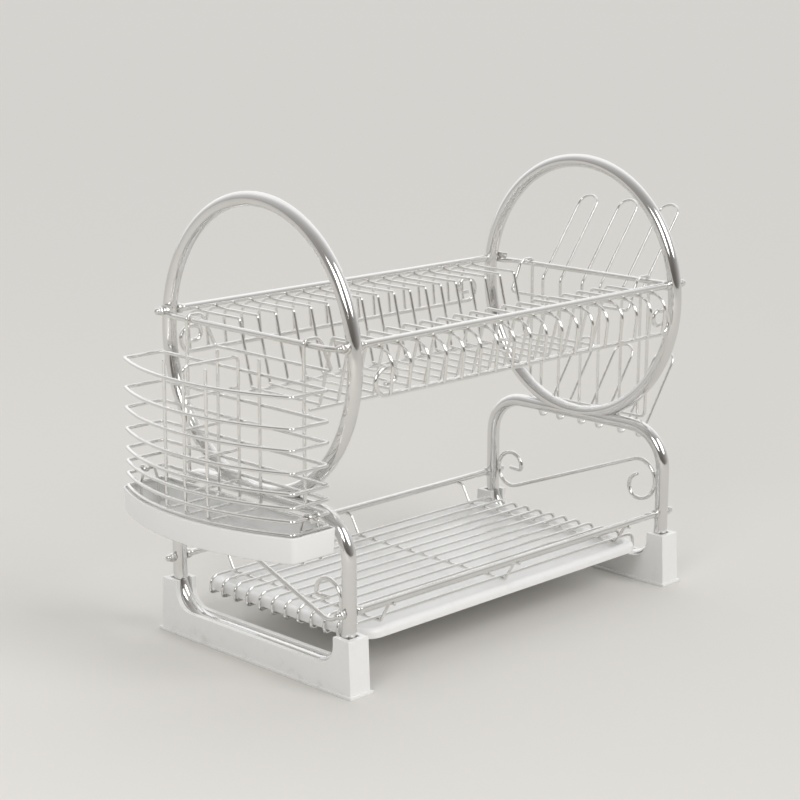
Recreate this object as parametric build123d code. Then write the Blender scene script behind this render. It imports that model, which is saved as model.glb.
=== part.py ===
import math
import os
from build123d import *

os.makedirs("parts", exist_ok=True)

# End loops and rings, bent from one size of tube
tube_diameter = 12.5
end_plane_x = 205.0
post_y = 107.5
loop_bottom_z = 17.5
loop_top_z = 147.5
loop_corner_radius = 37.5
ring_rise = 1.6
ring_half_width = 114.8
ring_half_height = 121.8
ring_cope_y = 24.0

# Plastic feet
foot_width = 22.4
foot_end_margin = 13.1
foot_tower_rise = 31.0
foot_tower_depth = 20.9
foot_tower_lean = 2.2
foot_wall_rise = 5.5
foot_sweep_depth = 18.0
foot_sweep_height = 17.0
foot_flange_overhang = 2.0
foot_flange_height = 2.5
foot_edge_chamfer = 1.2
tube_seat_clearance = 0.3

# Rails along the length and the rods across the ends
upper_rail_inset = 2.8
upper_rail_rise = 16.6
rail_z_lower = 68.2
upper_rail_diameter = 6.4
lower_rail_diameter = 6.0
side_rod_offset = 11.0
side_rod_drop = 2.5
side_rod_diameter = 5.0
side_rod_end_inset = 5.0
side_rod_joggle_inset = 7.5
side_rod_joggle_length = 10.5
side_rod_bend_radius = 6.0
tab_thickness = 2.0
tab_width = 10.0
tab_length = 12.0

# Bolts, nuts and collars
bolt_diameter = 4.0
bolt_hole_clearance = 0.3
thread_clearance = 0.05
bolt_depth_in_rail = 10.0
bolt_depth_in_nut = 6.0
nut_bore_depth = 6.5
nut_across_flats = 7.0
nut_hex_length = 4.6
nut_dome_diameter = 6.4
nut_dome_neck = 1.4
nut_chamfer = 0.5
collar_length = 5.0
collar_diameter = 9.0
collar_round = 1.6

# Scroll braces in the end loops
brace_diameter = 4.0
brace_centre_z = 86.8
brace_slope = 20.7
brace_curl_radii = (17.2, 13.0, 8.0)
brace_curl_turns = (180.0, 90.0, 120.0)

# Plate rack
plate_wire_diameter = 2.8
plate_wire_count = 18
plate_wire_pitch = 20.6
plate_belly_reach = 14.5
plate_belly_radius = 15.0
plate_shoulder_y = 57.5
plate_shoulder_radius = 3.0
plate_trough_y = 42.3
plate_trough_drop = 62.5
plate_trough_radius = 2.0
scroll_rod_diameter = 4.0
scroll_rod_inset = 5.9
scroll_rod_drop = 41.5
scroll_outer_radius = 11.0
scroll_inner_radius = 6.5
scroll_turn_inset = 27.8
scroll_flat = 5.0
scroll_tip = 6.0
trough_rod_diameter = 3.2
trough_rod_inset = 18.0

# Lower shelf
shelf_wire_diameter = 2.8
shelf_wire_count = 12
shelf_wire_pitch = 16.3
shelf_drop = 19.9
shelf_end_inset = 19.5
shelf_bend_radius = 8.0
shelf_hook_radius = 3.0
shelf_hook_length = 9.0
shelf_hanger_x = 155.0
shelf_hanger_diameter = 2.8
shelf_hanger_overhang = 2.5
shelf_hanger_rise_inset = 4.0
shelf_hanger_bend_inset = 14.5
shelf_hanger_radius = 4.0

# Drip tray under the shelf
drip_end_clearance = 1.4
drip_half_width = 103.0
drip_corner_radius = 20.0
drip_rim_width = 9.0
drip_top_clearance = 0.65
drip_rest_clearance = 0.6
drip_rim_height = 8.0
drip_depth = 10.8
drip_wall = 2.0
drip_taper = 12.0
drip_rim_chamfer = 2.5

# Cutlery basket
hook_clearance = 0.4
weld_gap = 0.05
hanger_diameter = 3.0
hanger_y = 72.5
hanger_inner_reach = 26.0
hanger_inner_drop = 25.5
hanger_bend_radius = 4.0
hanger_arch_reach = 12.5
hanger_arch_radius = 9.0
basket_loop_diameter = 3.2
basket_loop_drops = (30.3, 55.5, 72.7, 91.0, 107.6, 118.9, 129.9, 140.8)
basket_half_width = 104.0
basket_side_length = 38.5
basket_bow_depth = 25.0
basket_corner_radius = 3.0
basket_bow_steps = 8
basket_wire_diameter = 2.8
basket_upright_y = 26.0
basket_upright_drop = 17.0
basket_divider_drop = 18.5
basket_wire_bend_radius = 5.0
basket_bar_pitch = 26.0
basket_bar_count = 4

# Cutlery tray and its clips
tray_rim_drop = 1.2
tray_depth = 22.0
tray_wall = 1.9
tray_rim_clearance = 1.1
tray_corner_radius = 2.0
tray_taper = 4.0
tray_floor_thickness = 2.2
tray_floor_chamfer = 0.8
clip_diameter = 2.4
clip_loop_index = 6
clip_offset = 18.0
clip_leg_spacing = 19.0
clip_top_spacing = 9.0
clip_hook_drop = 3.0
clip_bend_radius = 2.0
clip_tip_length = 5.0
clip_tip_gap = 0.9
clip_hole_clearance = 0.4

# Cup rack
cup_wire_diameter = 2.8
cup_loop_count = 3
cup_loop_pitch = 49.8
cup_wire_spacing = 22.4
cup_prong_reach = 58.65
cup_lower_tip_drop = 81.0
cup_lower_slope = 55.3
cup_lower_bend_radius = 5.0
cup_upper_tip_rise = 63.5
cup_upper_slope = 52.6
cup_upper_bend_radius = 12.0
cup_hanger_rise = 33.2014
cup_hanger_corner_radius = 6.0

# How finely the tubes, rods and wires are faceted
tube_sides = 10
rod_sides = 8
fastener_sides = 8
curl_sides = 6
wire_sides = 5
rack_wire_sides = 4
ring_steps = 26
foot_sweep_steps = 4
tube_bend_steps = 5
wire_bend_steps = 2
small_bend_steps = 1
tray_bend_steps = 4
dome_steps = 2
dome_top_angle = 70.0
curl_facet_angle = 30.0

# Places of the frame's pieces, from the loops up and inwards
tube_radius = tube_diameter / 2
foot_half_length = post_y + foot_end_margin
foot_tower_height = loop_bottom_z + foot_tower_rise
foot_wall_height = loop_bottom_z + foot_wall_rise
ring_centre_z = loop_top_z + ring_half_height + ring_rise
rail_y_upper = ring_half_width - upper_rail_inset
rail_z_upper = ring_centre_z + upper_rail_rise
rail_y_lower = post_y
side_rod_x = end_plane_x + side_rod_offset
side_rod_z = rail_z_upper - side_rod_drop
plate_flat_z = rail_z_upper - (upper_rail_diameter + plate_wire_diameter) / 2 - weld_gap
plate_belly_y = rail_y_upper + plate_belly_reach
plate_trough_z = rail_z_upper - plate_trough_drop
scroll_rod_y = plate_belly_y - scroll_rod_inset
scroll_rod_z = rail_z_upper - scroll_rod_drop
scroll_turn_x = end_plane_x - scroll_turn_inset
trough_rod_half_length = end_plane_x - trough_rod_inset
shelf_z = rail_z_lower - shelf_drop
shelf_end_x = end_plane_x - shelf_end_inset
shelf_hanger_z = shelf_z - (shelf_wire_diameter + shelf_hanger_diameter) / 2 - weld_gap

# Places of the drip tray, which hangs in the hooks of the shelf wires
drip_half_length = shelf_end_x - shelf_wire_diameter / 2 - drip_end_clearance
drip_rim_top_z = shelf_hanger_z - shelf_hanger_diameter / 2 - drip_top_clearance
drip_rim_lip_z = drip_rim_top_z - drip_rim_height
shelf_hook_z = drip_rim_lip_z - drip_rest_clearance - shelf_wire_diameter / 2

# Places of the basket, its tray and the cup rack, which hang on the side rods
hook_radius = side_rod_diameter / 2 + hook_clearance + hanger_diameter / 2
hanger_leg_x = side_rod_x + hook_radius
hanger_arch_x = side_rod_x - hanger_arch_reach
hanger_inner_x = side_rod_x - hanger_inner_reach
hanger_inner_z = side_rod_z - hanger_inner_drop
basket_back_x = hanger_leg_x + (hanger_diameter + basket_loop_diameter) / 2 + weld_gap
basket_loop_heights = [side_rod_z - drop for drop in basket_loop_drops]
basket_upright_top_z = side_rod_z - basket_upright_drop
basket_divider_top_z = side_rod_z - basket_divider_drop
tray_rim_z = basket_loop_heights[-1] - tray_rim_drop
tray_bottom_z = tray_rim_z - tray_depth
cup_wire_x = hanger_leg_x + (hanger_diameter + cup_wire_diameter) / 2 + weld_gap
cup_prong_tip_x = cup_wire_x + cup_prong_reach
cup_lower_tip_z = side_rod_z - cup_lower_tip_drop
cup_upper_tip_z = side_rod_z + cup_upper_tip_rise
cup_lower_corner_z = cup_lower_tip_z - cup_prong_reach * math.tan(math.radians(cup_lower_slope))
cup_upper_corner_z = cup_upper_tip_z - cup_prong_reach * math.tan(math.radians(cup_upper_slope))
cup_hanger_bottom_z = cup_lower_corner_z + cup_hanger_rise


def rounded(points, radii, steps=None):
    """Replace each inner corner of a chain of points by a few points on its bend."""
    steps = steps or [wire_bend_steps] * len(radii)
    corners = [Vector(point) for point in points]
    chain = [corners[0]]
    for before, corner, after, radius, count in zip(
            corners, corners[1:], corners[2:], radii, steps):
        back = (before - corner).normalized()
        ahead = (after - corner).normalized()
        half_angle = math.radians(back.get_angle(ahead)) / 2
        turn = math.pi - 2 * half_angle
        centre = corner + (back + ahead).normalized() * (radius / math.sin(half_angle))
        start = corner + back * (radius / math.tan(half_angle)) - centre
        end = corner + ahead * (radius / math.tan(half_angle)) - centre
        for step in range(count + 1):
            share = step / count
            blend = start * math.sin((1 - share) * turn) + end * math.sin(share * turn)
            chain.append(centre + blend * (1 / math.sin(turn)))
    chain.append(corners[-1])
    kept = chain[:1]
    for point in chain[1:]:
        if (point - kept[-1]).length > weld_gap:
            kept.append(point)
    return kept


def closed_chain(corners, radii, steps=None):
    """Points all the way round a closed shape, from the middle of its last side."""
    start = (Vector(corners[0]) + Vector(corners[-1])) * 0.5
    return rounded([start, *corners, start], radii, steps)[:-1]


def along(edges):
    """Points along a run of lines and arcs, close enough together to follow the curls."""
    points = [edges[0] @ 0]
    for edge in edges:
        middle = edge % 0.5
        turn = (edge % 0).get_angle(middle) + middle.get_angle(edge % 1)
        steps = max(1, math.ceil(turn / curl_facet_angle))
        points += [edge @ ((i + 1) / steps) for i in range(steps)]
    return points


def bent_wire(points, diameter, sides=wire_sides, closed=False):
    """A wire, rod or tube with flat sides, mitred from point to point."""
    path = Polyline(*points, close=closed)
    section = (path ^ 0) * RegularPolygon(diameter / 2, sides)
    return sweep(section, path=path, transition=Transition.RIGHT)


def flat_sided(outline, sides):
    """A round piece with flat sides along +Z, from its height and radius at each step."""
    return loft([Pos(Z=z) * RegularPolygon(radius, sides) for z, radius in outline], ruled=True)


def both_sides(points):
    """A chain of points followed by its mirror image across the middle plane Y = 0."""
    return points + [(x, -y, z) for x, y, z in reversed(points)]


def on_x(shape, x):
    """A round piece drawn along +Z, laid along +X from the given place."""
    return Pos(X=x) * Rot(Y=90) * shape


def tube_loop(side):
    x = side * end_plane_x
    corners = both_sides([(x, -post_y, loop_bottom_z), (x, -post_y, loop_top_z)])
    chain = closed_chain(corners, [loop_corner_radius] * 4, [tube_bend_steps] * 4)
    loop = bent_wire(chain, tube_diameter, tube_sides, closed=True)
    return loop - bolt_holes(side, rail_y_lower, rail_z_lower)


def tube_ring(side):
    start = math.asin(ring_cope_y / 2 / ring_half_width)
    points = []
    for step in range(ring_steps + 1):
        angle = start + 2 * (math.pi - start) * step / ring_steps
        points.append((
            side * end_plane_x,
            ring_half_width * math.sin(angle),
            ring_centre_z - ring_half_height * math.cos(angle)))
    ring = bent_wire(points, tube_diameter, tube_sides)
    bar = RegularPolygon(tube_radius + weld_gap, tube_sides, major_radius=False)
    bar = extrude(Plane.XZ * bar, 2 * ring_cope_y, both=True)
    ring -= Pos(side * end_plane_x, 0, loop_top_z) * bar
    middle = Box(2 * tube_diameter, 2 * ring_cope_y, ring_half_height)
    ring -= Pos(side * end_plane_x, 0, loop_top_z) * middle
    return ring - bolt_holes(side, rail_y_upper, rail_z_upper)


def bolt_holes(side, y, z):
    radius = bolt_diameter / 2 + bolt_hole_clearance
    hole = flat_sided([(-tube_diameter, radius), (tube_diameter, radius)], fastener_sides)
    hole = on_x(hole, side * end_plane_x)
    return Pos(0, y, z) * hole + Pos(0, -y, z) * hole


def foot_outline():
    tower_inner_y = foot_half_length - foot_tower_depth
    tower_outer_y = foot_half_length - foot_tower_lean
    sweep_end_y = tower_inner_y - foot_sweep_depth
    outline = [
        (0, 0),
        (foot_half_length, 0),
        (tower_outer_y, foot_tower_height),
        (tower_inner_y, foot_tower_height)]
    for step in range(foot_sweep_steps + 1):
        angle = math.pi / 2 * step / foot_sweep_steps
        outline.append((
            sweep_end_y + foot_sweep_depth * math.cos(angle),
            foot_wall_height + foot_sweep_height * (1 - math.sin(angle))))
    outline.append((0, foot_wall_height))
    return make_face(Polyline(*outline, close=True))


def foot(side):
    half = extrude(Plane.YZ * foot_outline(), foot_width / 2, both=True)
    half = chamfer(half.edges().filter_by(Axis.X).group_by(Axis.Z)[-1], foot_edge_chamfer)
    half += Pos(0, (foot_half_length + foot_flange_overhang) / 2, 0) * Box(
        foot_width + 2 * foot_flange_overhang, foot_half_length + foot_flange_overhang,
        foot_flange_height, align=(Align.CENTER, Align.CENTER, Align.MIN))
    body = half + mirror(half, Plane.XZ)
    room = tube_radius + tube_seat_clearance
    low_z = loop_bottom_z - room
    corners = both_sides([(0, -post_y - room, low_z), (0, -post_y - room, loop_top_z)])
    radii = [loop_corner_radius + room, 0, 0, loop_corner_radius + room]
    chain = closed_chain(corners, radii, [tube_bend_steps] * 4)
    groove = make_face(Polyline(*chain, close=True))
    body -= extrude(groove, room, both=True)
    return Pos(X=side * end_plane_x) * body


def rail(y, z, diameter):
    half_length = end_plane_x - tube_radius - weld_gap - collar_length - weld_gap
    bar = on_x(flat_sided([(-half_length, diameter / 2), (half_length, diameter / 2)], rod_sides), 0)
    depth = bolt_depth_in_rail + bolt_diameter
    radius = bolt_diameter / 2 + thread_clearance
    bore = flat_sided([(-depth, radius), (depth, radius)], fastener_sides)
    bar -= on_x(bore, half_length)
    bar -= on_x(bore, -half_length)
    return Pos(0, y, z) * bar


def four_corners(piece, y, z):
    """Four copies of a piece drawn on the +X side, one at each end of both rails."""
    pieces = []
    for end_y in (-y, y):
        right = Pos(0, end_y, z) * piece
        pieces += [right, mirror(right, Plane.YZ)]
    return pieces


def bolt(outer_gap):
    start = end_plane_x - tube_radius - 2 * weld_gap - collar_length - bolt_depth_in_rail
    end = end_plane_x + tube_radius + outer_gap + bolt_depth_in_nut
    radius = bolt_diameter / 2
    return on_x(flat_sided([(start, radius), (end, radius)], fastener_sides), 0)


def cap_nut(outer_gap):
    hexagon = extrude(RegularPolygon(nut_across_flats / 2, 6, major_radius=False), nut_hex_length)
    hexagon = chamfer(hexagon.edges().group_by(Axis.Z)[0], nut_chamfer)
    dome_radius = nut_dome_diameter / 2
    outline = [(nut_hex_length - nut_chamfer, dome_radius)]
    for step in range(dome_steps + 1):
        angle = math.radians(dome_top_angle * step / dome_steps)
        height = nut_hex_length + nut_dome_neck + dome_radius * math.sin(angle)
        outline.append((height, dome_radius * math.cos(angle)))
    nut = hexagon + flat_sided(outline, fastener_sides)
    bore_radius = bolt_diameter / 2 + thread_clearance
    nut -= flat_sided([(-nut_chamfer, bore_radius), (nut_bore_depth, bore_radius)], fastener_sides)
    return on_x(nut, end_plane_x + tube_radius + outer_gap)


def collar():
    radius = collar_diameter / 2
    ring = flat_sided([
        (0, radius - collar_round),
        (collar_round, radius),
        (collar_length - collar_round, radius),
        (collar_length, radius - collar_round)], fastener_sides)
    hole_radius = bolt_diameter / 2 + bolt_hole_clearance
    hole = [(-collar_round, hole_radius), (collar_length + collar_round, hole_radius)]
    ring -= flat_sided(hole, fastener_sides)
    return on_x(ring, end_plane_x - tube_radius - weld_gap - collar_length)


def side_rod(side):
    tab_x = end_plane_x + tube_radius + weld_gap
    tab_centre_x = tab_x + tab_thickness / 2
    joggle_y = rail_y_upper - side_rod_joggle_inset
    points = both_sides([
        (tab_centre_x, rail_y_upper - side_rod_end_inset, side_rod_z),
        (tab_centre_x, joggle_y, side_rod_z),
        (side_rod_x, joggle_y - side_rod_joggle_length, side_rod_z)])
    chain = rounded(points, [side_rod_bend_radius] * 4, [small_bend_steps] * 4)
    rod = bent_wire(chain, side_rod_diameter, rod_sides)
    half_width = tab_width / 2
    inner_y = rail_y_upper - tab_length
    outer_y = rail_y_upper + half_width
    corners = [
        (0, inner_y, rail_z_upper - half_width),
        (0, outer_y, rail_z_upper - half_width),
        (0, outer_y, rail_z_upper + half_width),
        (0, inner_y, rail_z_upper + half_width)]
    outline = Polyline(*closed_chain(corners, [0, half_width, half_width, 0]), close=True)
    tab = Pos(X=tab_x) * extrude(make_face(outline), tab_thickness, dir=(1, 0, 0))
    rod += tab + mirror(tab, Plane.XZ) - bolt_holes(1, rail_y_upper, rail_z_upper)
    return rod if side > 0 else mirror(rod, Plane.YZ)


def scroll_brace(side):
    reach = post_y - tube_radius - weld_gap - brace_diameter / 2
    slope = math.radians(brace_slope)
    first_radius = brace_curl_radii[0]
    run = (reach - first_radius * (1 + math.sin(slope))) / math.cos(slope)
    end = Vector(run * math.cos(slope), -run * math.sin(slope))
    edges = [Line((0, 0), end)]
    turns = (brace_slope + brace_curl_turns[0],) + brace_curl_turns[1:]
    for radius, turn in zip(brace_curl_radii, turns):
        edges.append(JernArc(edges[-1] @ 1, edges[-1] % 1, radius, turn))
    half = [(end_plane_x, point.X, point.Y) for point in along(edges)]
    other = [(x, -y, -z) for x, y, z in reversed(half[1:])]
    brace = Pos(Z=brace_centre_z) * bent_wire(other + half[1:], brace_diameter, curl_sides)
    return brace if side > 0 else brace.rotate(Axis.Z, 180)


def plate_wires():
    rod_gap = (scroll_rod_diameter + plate_wire_diameter) / 2 + weld_gap
    half = [
        (0, -scroll_rod_y - rod_gap, scroll_rod_z),
        (0, -plate_belly_y, plate_flat_z - plate_belly_radius),
        (0, -plate_belly_y, plate_flat_z),
        (0, -plate_shoulder_y, plate_flat_z),
        (0, -plate_trough_y, plate_trough_z)]
    radii = [0, plate_belly_radius, plate_shoulder_radius, plate_trough_radius]
    steps = [small_bend_steps, wire_bend_steps, small_bend_steps, small_bend_steps]
    chain = rounded(both_sides(half), radii + radii[::-1], steps + steps[::-1])
    wire = bent_wire(chain, plate_wire_diameter, rack_wire_sides)
    start = -(plate_wire_count - 1) / 2 * plate_wire_pitch
    return [Pos(X=start + i * plate_wire_pitch) * wire for i in range(plate_wire_count)]


def scroll_rod(front):
    base = Line((0, 0), (scroll_turn_x, 0))
    outer = JernArc(base @ 1, base % 1, scroll_outer_radius, 180)
    flat = Line(outer @ 1, outer @ 1 + (outer % 1) * scroll_flat)
    inner = JernArc(flat @ 1, flat % 1, scroll_inner_radius, 180)
    tip = Line(inner @ 1, inner @ 1 + (inner % 1) * scroll_tip)
    right = [(point.X, 0, point.Y) for point in along([base, outer, flat, inner, tip])]
    left = [(-x, y, z) for x, y, z in reversed(right[1:])]
    rod = bent_wire(left + right[1:], scroll_rod_diameter, curl_sides)
    return Pos(0, front * scroll_rod_y, scroll_rod_z) * rod


def trough_rod(front):
    z = plate_trough_z - (plate_wire_diameter + trough_rod_diameter) / 2 - weld_gap
    radius = trough_rod_diameter / 2
    ends = [(-trough_rod_half_length, radius), (trough_rod_half_length, radius)]
    return Pos(0, front * plate_trough_y, z) * on_x(flat_sided(ends, rod_sides), 0)


def shelf_wires():
    tip_x = shelf_end_x - shelf_hook_length
    points = [
        (-tip_x, 0, shelf_hook_z),
        (-shelf_end_x, 0, shelf_hook_z),
        (-shelf_end_x, 0, shelf_z),
        (shelf_end_x, 0, shelf_z),
        (shelf_end_x, 0, shelf_hook_z),
        (tip_x, 0, shelf_hook_z)]
    radii = [shelf_hook_radius, shelf_bend_radius]
    chain = rounded(points, radii + radii[::-1])
    wire = bent_wire(chain, shelf_wire_diameter, rack_wire_sides)
    start = -(shelf_wire_count - 1) / 2 * shelf_wire_pitch
    return [Pos(Y=start + i * shelf_wire_pitch) * wire for i in range(shelf_wire_count)]


def shelf_hangers():
    high_z = rail_z_lower - (lower_rail_diameter + shelf_hanger_diameter) / 2 - weld_gap
    points = both_sides([
        (0, -rail_y_lower - shelf_hanger_overhang, high_z),
        (0, -rail_y_lower + shelf_hanger_rise_inset, high_z),
        (0, -rail_y_lower + shelf_hanger_bend_inset, shelf_hanger_z)])
    chain = rounded(points, [shelf_hanger_radius] * 4, [small_bend_steps] * 4)
    wire = bent_wire(chain, shelf_hanger_diameter)
    return [Pos(X=x) * wire for x in (-shelf_hanger_x, 0, shelf_hanger_x)]


def drip_tray_outline(inset):
    """The tray's rounded rectangle seen from above, smaller all round by the given margin."""
    x = drip_half_length - inset
    y = drip_half_width - inset
    corners = [(-x, -y), (x, -y), (x, y), (-x, y)]
    chain = closed_chain(corners, [drip_corner_radius - inset] * 4, [tray_bend_steps] * 4)
    return make_face(Polyline(*chain, close=True))


def drip_tray():
    skirt = Pos(Z=drip_rim_lip_z) * extrude(drip_tray_outline(0), drip_rim_height)
    skirt = chamfer(skirt.faces().sort_by(Axis.Z)[-1].edges(), drip_rim_chamfer)
    skirt -= extrude(drip_tray_outline(drip_wall), drip_rim_top_z - drip_wall)
    basin = extrude(drip_tray_outline(drip_rim_width), -drip_depth, taper=drip_taper)
    hollow = extrude(drip_tray_outline(drip_rim_width + drip_wall), drip_wall - drip_depth,
                     taper=drip_taper)
    return skirt + Pos(Z=drip_rim_top_z) * basin - Pos(Z=drip_rim_top_z) * hollow


def bow_circle():
    """Radius of the basket's bowed front and where its centre lies along X."""
    radius = (basket_bow_depth ** 2 + basket_half_width ** 2) / (2 * basket_bow_depth)
    return radius, basket_back_x + basket_side_length + basket_bow_depth - radius


def basket_chain(grow, bend, steps):
    """Points round the D shape seen from above, larger all round by the given margin."""
    radius, centre_x = bow_circle()
    radius += grow
    half_width = basket_half_width + grow
    reach = math.asin(half_width / radius)
    corners = [(basket_back_x - grow, -half_width)]
    for step in range(basket_bow_steps + 1):
        angle = reach * (2 * step / basket_bow_steps - 1)
        corners.append((centre_x + radius * math.cos(angle), radius * math.sin(angle)))
    corners.append((basket_back_x - grow, half_width))
    radii = [bend, bend] + [0] * (basket_bow_steps - 1) + [bend, bend]
    return closed_chain(corners, radii, [steps] * len(radii))


def basket_loops():
    chain = basket_chain(0, basket_corner_radius, wire_bend_steps)
    loop = bent_wire(chain, basket_loop_diameter, rack_wire_sides, closed=True)
    loop = mirror(loop, Plane.YZ)
    return [Pos(Z=z) * loop for z in basket_loop_heights]


def upright_ends(y):
    """Where the two legs of a basket wire stand, just inside the loops."""
    radius, centre_x = bow_circle()
    inset = (basket_loop_diameter + basket_wire_diameter) / 2 + weld_gap
    return basket_back_x + inset, centre_x + math.sqrt((radius - inset) ** 2 - y ** 2)


def basket_uprights():
    back_x, front_x = upright_ends(basket_upright_y)
    low_z = basket_loop_heights[-1]
    points = [
        (-back_x, 0, basket_upright_top_z),
        (-back_x, 0, low_z),
        (-front_x, 0, low_z),
        (-front_x, 0, basket_upright_top_z)]
    wire = bent_wire(rounded(points, [basket_wire_bend_radius] * 2), basket_wire_diameter)
    return [Pos(Y=y) * wire for y in (-basket_upright_y, basket_upright_y)]


def basket_divider():
    back_x, front_x = upright_ends(0)
    low_z = basket_loop_heights[-1]
    middle_x = (back_x + front_x) / 2
    corners = [
        (-front_x, 0, low_z),
        (-front_x, 0, basket_divider_top_z),
        (-back_x, 0, basket_divider_top_z),
        (-back_x, 0, low_z)]
    chain = closed_chain(corners, [basket_wire_bend_radius] * 4)
    pieces = [bent_wire(chain, basket_wire_diameter, closed=True)]
    bar_length = front_x - back_x - basket_wire_diameter - 2 * weld_gap
    bar = on_x(extrude(RegularPolygon(basket_wire_diameter / 2, wire_sides), bar_length / 2,
                       both=True), -middle_x)
    for i in range(basket_bar_count):
        pieces.append(Pos(Z=basket_divider_top_z - (i + 1) * basket_bar_pitch) * bar)
    return pieces


def hanger_points():
    """The arch over the side rod, from its outer leg to its inner corner."""
    top_z = side_rod_z + hook_radius
    return [
        (hanger_leg_x, hanger_y, top_z),
        (hanger_arch_x, hanger_y, top_z),
        (hanger_inner_x, hanger_y, hanger_inner_z)]


def hanger_radii():
    return [hook_radius, hanger_arch_radius, hanger_bend_radius]


def basket_hanger():
    foot_z = basket_loop_heights[clip_loop_index] - basket_loop_diameter / 2
    points = both_sides([(hanger_leg_x, hanger_y, foot_z)] + hanger_points())
    radii = hanger_radii()
    wire = bent_wire(rounded(points, radii + radii[::-1]), hanger_diameter)
    return mirror(wire, Plane.YZ)


def cup_rack_hanger():
    corner = (hanger_leg_x, hanger_y, cup_hanger_bottom_z)
    radii = [cup_hanger_corner_radius] + hanger_radii()
    chain = closed_chain(both_sides([corner] + hanger_points()), radii + radii[::-1])
    return bent_wire(chain, hanger_diameter, closed=True)


def cup_loops():
    hairpin = cup_wire_spacing / 2
    half = [
        (cup_prong_tip_x, hairpin, cup_lower_tip_z),
        (cup_wire_x, hairpin, cup_lower_corner_z),
        (cup_wire_x, hairpin, cup_upper_corner_z),
        (cup_prong_tip_x, hairpin, cup_upper_tip_z)]
    radii = [hairpin, cup_lower_bend_radius, cup_upper_bend_radius, hairpin]
    chain = closed_chain(both_sides(half), radii + radii[::-1])
    loop = bent_wire(chain, cup_wire_diameter, rack_wire_sides, closed=True)
    start = -(cup_loop_count - 1) / 2 * cup_loop_pitch
    return [Pos(Y=start + i * cup_loop_pitch) * loop for i in range(cup_loop_count)]


def cutlery_tray_outline(wall):
    """The tray seen from above, outside its rim by the given wall."""
    grow = basket_loop_diameter / 2 + tray_rim_clearance + wall
    chain = basket_chain(grow, tray_corner_radius + wall, wire_bend_steps)
    return make_face(Polyline(*chain, close=True))


def cutlery_tray():
    outer = extrude(cutlery_tray_outline(tray_wall), -tray_depth, taper=tray_taper)
    outer = chamfer(outer.faces().sort_by(Axis.Z)[0].edges(), tray_floor_chamfer)
    inner = extrude(cutlery_tray_outline(0), tray_floor_thickness - tray_depth, taper=tray_taper)
    tray = mirror(Pos(Z=tray_rim_z) * (outer - inner), Plane.YZ)
    hole_radius = clip_diameter / 2 + clip_hole_clearance
    hole = flat_sided([(-tray_depth, hole_radius), (tray_depth, hole_radius)], fastener_sides)
    x = clip_centre_x()
    for leg_x in (x - clip_leg_spacing / 2, x + clip_leg_spacing / 2):
        for y in (-clip_leg_y(), clip_leg_y()):
            tray -= Pos(leg_x, y, tray_bottom_z) * hole
    return tray


def clip_centre_x():
    return -basket_back_x - clip_offset


def clip_hook_radius():
    return (basket_loop_diameter + clip_diameter) / 2 + hook_clearance


def clip_leg_y():
    return basket_half_width - clip_hook_radius()


def tray_clips():
    low_x = clip_leg_spacing / 2
    high_x = clip_top_spacing / 2
    loop_z = basket_loop_heights[clip_loop_index]
    hook = clip_hook_radius()
    leg_y = clip_leg_y()
    outer_y = basket_half_width + hook
    tip_z = tray_bottom_z - clip_tip_gap - clip_diameter / 2
    half = [
        (low_x, leg_y + clip_tip_length, tip_z),
        (low_x, leg_y, tip_z),
        (low_x, leg_y, tray_rim_z),
        (high_x, leg_y, loop_z + hook),
        (high_x, outer_y, loop_z + hook),
        (high_x, outer_y, loop_z - clip_hook_drop)]
    points = half + [(-x, y, z) for x, y, z in reversed(half)]
    radii = [clip_bend_radius, clip_bend_radius, hook, hook, clip_bend_radius]
    steps = [small_bend_steps, small_bend_steps] + [wire_bend_steps] * 2 + [small_bend_steps]
    chain = rounded(points, radii + radii[::-1], steps + steps[::-1])
    wire = Pos(X=clip_centre_x()) * bent_wire(chain, clip_diameter)
    return [wire, mirror(wire, Plane.XZ)]


def build():
    tab_gap = tab_thickness + 2 * weld_gap
    return {
        "left_foot": foot(-1),
        "right_foot": foot(1),
        "left_loop_tube": tube_loop(-1),
        "right_loop_tube": tube_loop(1),
        "left_ring_tube": tube_ring(-1),
        "right_ring_tube": tube_ring(1),
        "left_scroll_brace": scroll_brace(-1),
        "right_scroll_brace": scroll_brace(1),
        "upper_front_rail": rail(-rail_y_upper, rail_z_upper, upper_rail_diameter),
        "upper_back_rail": rail(rail_y_upper, rail_z_upper, upper_rail_diameter),
        "lower_front_rail": rail(-rail_y_lower, rail_z_lower, lower_rail_diameter),
        "lower_back_rail": rail(rail_y_lower, rail_z_lower, lower_rail_diameter),
        "left_side_rod": side_rod(-1),
        "right_side_rod": side_rod(1),
        "upper_bolts": four_corners(bolt(tab_gap), rail_y_upper, rail_z_upper),
        "lower_bolts": four_corners(bolt(weld_gap), rail_y_lower, rail_z_lower),
        "upper_cap_nuts": four_corners(cap_nut(tab_gap), rail_y_upper, rail_z_upper),
        "lower_cap_nuts": four_corners(cap_nut(weld_gap), rail_y_lower, rail_z_lower),
        "upper_rail_collars": four_corners(collar(), rail_y_upper, rail_z_upper),
        "lower_rail_collars": four_corners(collar(), rail_y_lower, rail_z_lower),
        "plate_wires": plate_wires(),
        "plate_front_scroll_rod": scroll_rod(-1),
        "plate_back_scroll_rod": scroll_rod(1),
        "plate_front_trough_rod": trough_rod(-1),
        "plate_back_trough_rod": trough_rod(1),
        "shelf_wires": shelf_wires(),
        "shelf_hangers": shelf_hangers(),
        "drip_tray": drip_tray(),
        "basket_loops": basket_loops(),
        "basket_uprights": basket_uprights(),
        "basket_divider": basket_divider(),
        "basket_hanger": basket_hanger(),
        "cutlery_tray": cutlery_tray(),
        "tray_clips": tray_clips(),
        "cup_loops": cup_loops(),
        "cup_rack_hanger": cup_rack_hanger(),
    }


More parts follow.
